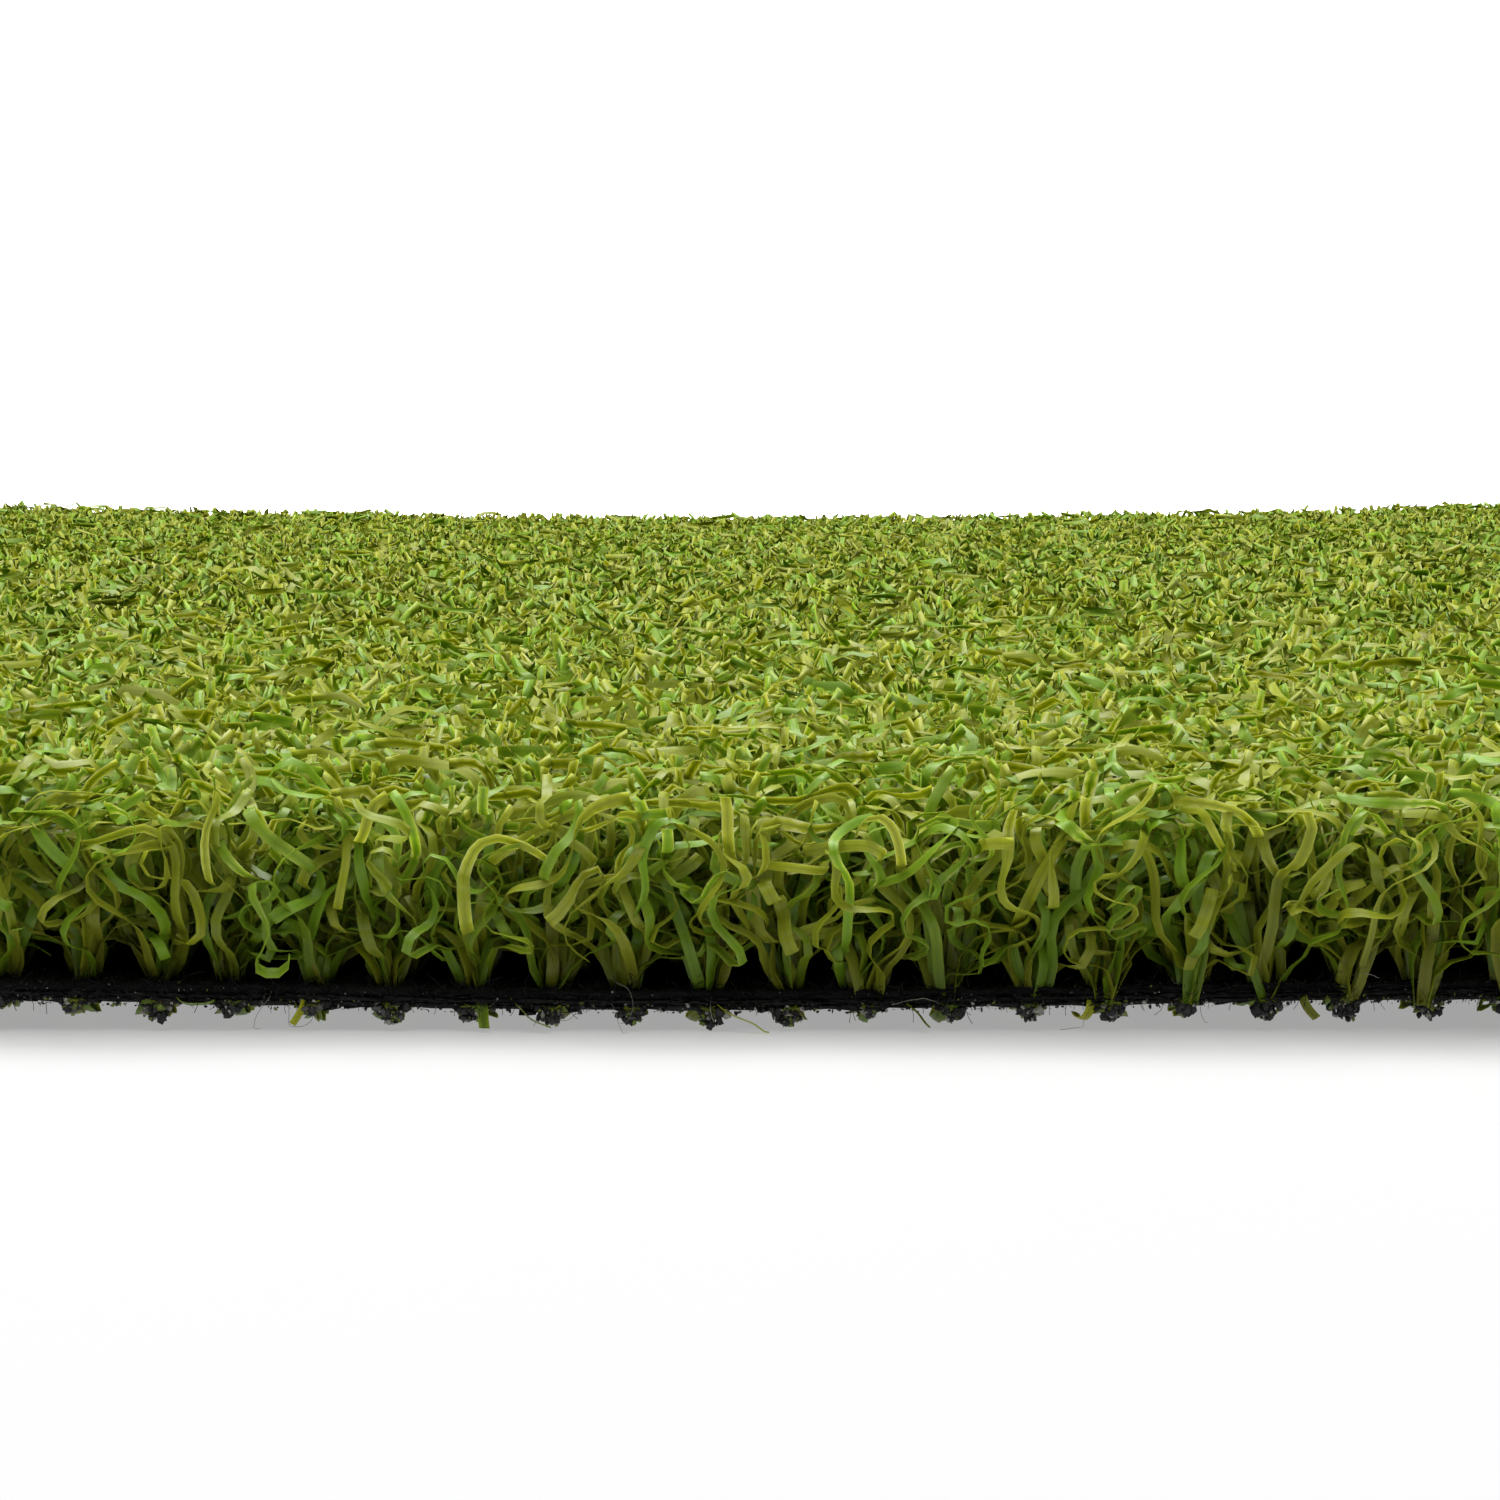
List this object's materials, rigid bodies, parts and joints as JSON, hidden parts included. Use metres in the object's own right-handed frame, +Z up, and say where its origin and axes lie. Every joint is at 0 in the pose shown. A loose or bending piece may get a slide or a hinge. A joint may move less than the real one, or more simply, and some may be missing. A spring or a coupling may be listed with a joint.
{
  "type": "golf hitting mat",
  "caption": "Rectangular piece of curled two-green artificial turf on a thin black backing, cut on all sides, to hit golf balls from.",
  "frame": {"origin": "centre of the mat's outline, on the plane it rests on", "axes": "+Z up through the pile, Y along the turf rows and the mat's long side, X across the rows"},
  "size_m": [0.3048, 0.6096, 0.0151],
  "materials": {
    "latex_coat": "matt black latex, scuffed grey at the cut edges",
    "primary_backing": "plain weave of black polypropylene tape",
    "fleece_layer": "black needled fibre, matt and fuzzy",
    "turf_yarn": "curled flat ribbons in fresh green and olive, semi-gloss"
  },
  "bodies": {
    "root": {"latex_coat": "latex_coat", "primary_backing": "primary_backing", "fleece_layer": "fleece_layer", "turf_rows_01_02": "turf_yarn", "turf_rows_03_04": "turf_yarn", "turf_rows_05_06": "turf_yarn", "turf_rows_07_08": "turf_yarn", "turf_rows_09_10": "turf_yarn", "turf_rows_11_12": "turf_yarn", "turf_rows_13_14": "turf_yarn", "turf_rows_15_16": "turf_yarn", "turf_rows_17_18": "turf_yarn", "turf_rows_19_20": "turf_yarn", "turf_rows_21_22": "turf_yarn", "turf_rows_23_24": "turf_yarn", "turf_rows_25_26": "turf_yarn", "turf_rows_27_28": "turf_yarn", "turf_rows_29_30": "turf_yarn", "turf_rows_31_32": "turf_yarn", "turf_rows_33_34": "turf_yarn", "turf_rows_35_36": "turf_yarn", "turf_rows_37_38": "turf_yarn", "turf_rows_39_40": "turf_yarn", "turf_rows_41_42": "turf_yarn", "turf_rows_43_44": "turf_yarn", "turf_rows_45_46": "turf_yarn", "turf_rows_47_48": "turf_yarn", "turf_rows_49_50": "turf_yarn", "turf_rows_51_52": "turf_yarn", "turf_rows_53_54": "turf_yarn", "turf_rows_55_56": "turf_yarn", "turf_rows_57_58": "turf_yarn", "turf_rows_59_60": "turf_yarn", "turf_rows_61_62": "turf_yarn", "turf_rows_63_64": "turf_yarn"}
  },
  "joints": []
}
